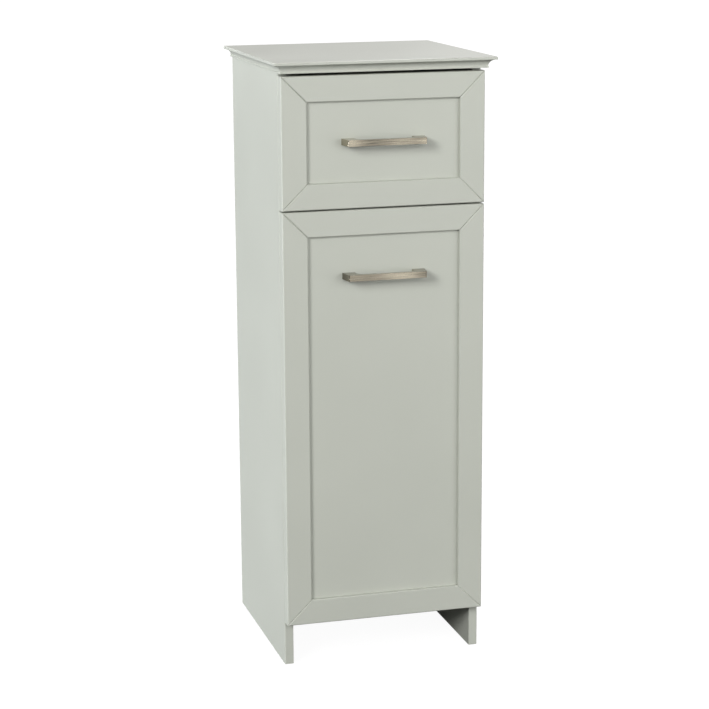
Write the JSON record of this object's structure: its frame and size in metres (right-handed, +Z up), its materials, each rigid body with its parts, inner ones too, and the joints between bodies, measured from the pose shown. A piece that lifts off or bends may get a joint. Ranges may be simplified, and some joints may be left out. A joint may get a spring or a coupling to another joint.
{
  "type": "bathroom cabinet",
  "caption": "Narrow free-standing cabinet with a drawer over a tilt-out laundry hamper, mitred framed fronts, a moulded top and bar handles.",
  "frame": {"origin": "on the floor, in the middle of the cabinet's width and depth", "axes": "+Z up, front faces -Y, +X to the right seen from the front"},
  "size_m": [0.3, 0.3, 0.82],
  "materials": {
    "painted_board": "satin grey-green lacquer on fibreboard",
    "raw_board": "pale foil-faced board",
    "beech": "plain beech",
    "nickel": "brushed warm nickel",
    "white_plastic": "white moulded plastic",
    "clear_rubber": "clear soft bumper",
    "cotton": "natural cotton canvas",
    "coated_steel": "white powder coat",
    "zinc_steel": "zinc-plated steel"
  },
  "bodies": {
    "carcass": {"top_panel": "painted_board", "left_side_panel": "painted_board", "right_side_panel": "painted_board", "bottom_panel": "painted_board", "divider_panel": "painted_board", "back_panel": "raw_board", "cam_locks": "zinc_steel", "cam_bolts": "zinc_steel", "wooden_dowels": "beech", "back_panel_screws": "zinc_steel", "carcass_screws": "zinc_steel", "left_cabinet_runner": "coated_steel", "right_cabinet_runner": "coated_steel", "left_hinge_base_leaf": "zinc_steel", "right_hinge_base_leaf": "zinc_steel", "hinge_pins": "zinc_steel", "stay_studs": "zinc_steel", "magnetic_catch": "white_plastic"},
    "drawer": {"drawer_front_top_rail": "painted_board", "drawer_front_bottom_rail": "painted_board", "drawer_front_left_stile": "painted_board", "drawer_front_right_stile": "painted_board", "drawer_front_panel": "painted_board", "drawer_handle": "nickel", "drawer_handle_screws": "zinc_steel", "drawer_inner_front": "raw_board", "drawer_left_side": "raw_board", "drawer_right_side": "raw_board", "drawer_back": "raw_board", "drawer_bottom": "raw_board", "drawer_box_screws": "zinc_steel", "drawer_front_screws": "zinc_steel", "left_drawer_runner": "coated_steel", "right_drawer_runner": "coated_steel", "drawer_runner_screws": "zinc_steel", "drawer_bumpers": "clear_rubber"},
    "hamper": {"hamper_front_top_rail": "painted_board", "hamper_front_bottom_rail": "painted_board", "hamper_front_left_stile": "painted_board", "hamper_front_right_stile": "painted_board", "hamper_front_panel": "painted_board", "hamper_handle": "nickel", "hamper_handle_screws": "zinc_steel", "left_hinge_flap_leaf": "zinc_steel", "right_hinge_flap_leaf": "zinc_steel", "catch_strike_plate": "zinc_steel", "hamper_bumpers": "clear_rubber", "stay_brackets": "zinc_steel", "bag_frame": "coated_steel", "laundry_bag": "cotton", "hamper_screws": "zinc_steel"},
    "left_stay": {"left_stay": "zinc_steel"},
    "right_stay": {"right_stay": "zinc_steel"},
    "left_front_roller": {"left_front_roller": "white_plastic"},
    "right_front_roller": {"right_front_roller": "white_plastic"},
    "left_rear_roller": {"left_rear_roller": "white_plastic"},
    "right_rear_roller": {"right_rear_roller": "white_plastic"}
  },
  "joints": [
    {"name": "drawer_slide", "type": "slide", "parent": "carcass", "child": "drawer", "axis": [0, -1, 0], "range_m": [0, 0.2]},
    {"name": "hamper_tilt", "type": "hinge", "parent": "carcass", "child": "hamper", "pos_m": [0, -0.1149, 0.0615], "axis": [1, 0, 0], "range_deg": [0, 35]},
    {"name": "left_stay_pivot", "type": "hinge", "parent": "hamper", "child": "left_stay", "pos_m": [-0.12225, -0.106, 0.36137], "axis": [1, 0, 0], "range_deg": [-17.5, 0]},
    {"name": "right_stay_pivot", "type": "hinge", "parent": "hamper", "child": "right_stay", "pos_m": [0.12225, -0.106, 0.36137], "axis": [1, 0, 0], "range_deg": [-17.5, 0]},
    {"name": "left_front_roller_spin", "type": "hinge", "parent": "carcass", "child": "left_front_roller", "pos_m": [-0.1189, -0.105, 0.6428], "axis": [1, 0, 0], "range_deg": [0, 1764]},
    {"name": "left_rear_roller_spin", "type": "hinge", "parent": "drawer", "child": "left_rear_roller", "pos_m": [-0.1189, 0.1083, 0.6428], "axis": [1, 0, 0], "range_deg": [0, 1764]},
    {"name": "right_front_roller_spin", "type": "hinge", "parent": "carcass", "child": "right_front_roller", "pos_m": [0.1189, -0.105, 0.6428], "axis": [1, 0, 0], "range_deg": [0, 1764]},
    {"name": "right_rear_roller_spin", "type": "hinge", "parent": "drawer", "child": "right_rear_roller", "pos_m": [0.1189, 0.1083, 0.6428], "axis": [1, 0, 0], "range_deg": [0, 1764]}
  ],
  "couplings": [
    {"joint": "left_stay_pivot", "follows": "hamper_tilt", "ratio": -0.5},
    {"joint": "right_stay_pivot", "follows": "hamper_tilt", "ratio": -0.5},
    {"joint": "left_front_roller_spin", "follows": "drawer_slide", "rad_per_m": 153.85},
    {"joint": "left_rear_roller_spin", "follows": "drawer_slide", "rad_per_m": 153.85},
    {"joint": "right_front_roller_spin", "follows": "drawer_slide", "rad_per_m": 153.85},
    {"joint": "right_rear_roller_spin", "follows": "drawer_slide", "rad_per_m": 153.85}
  ]
}
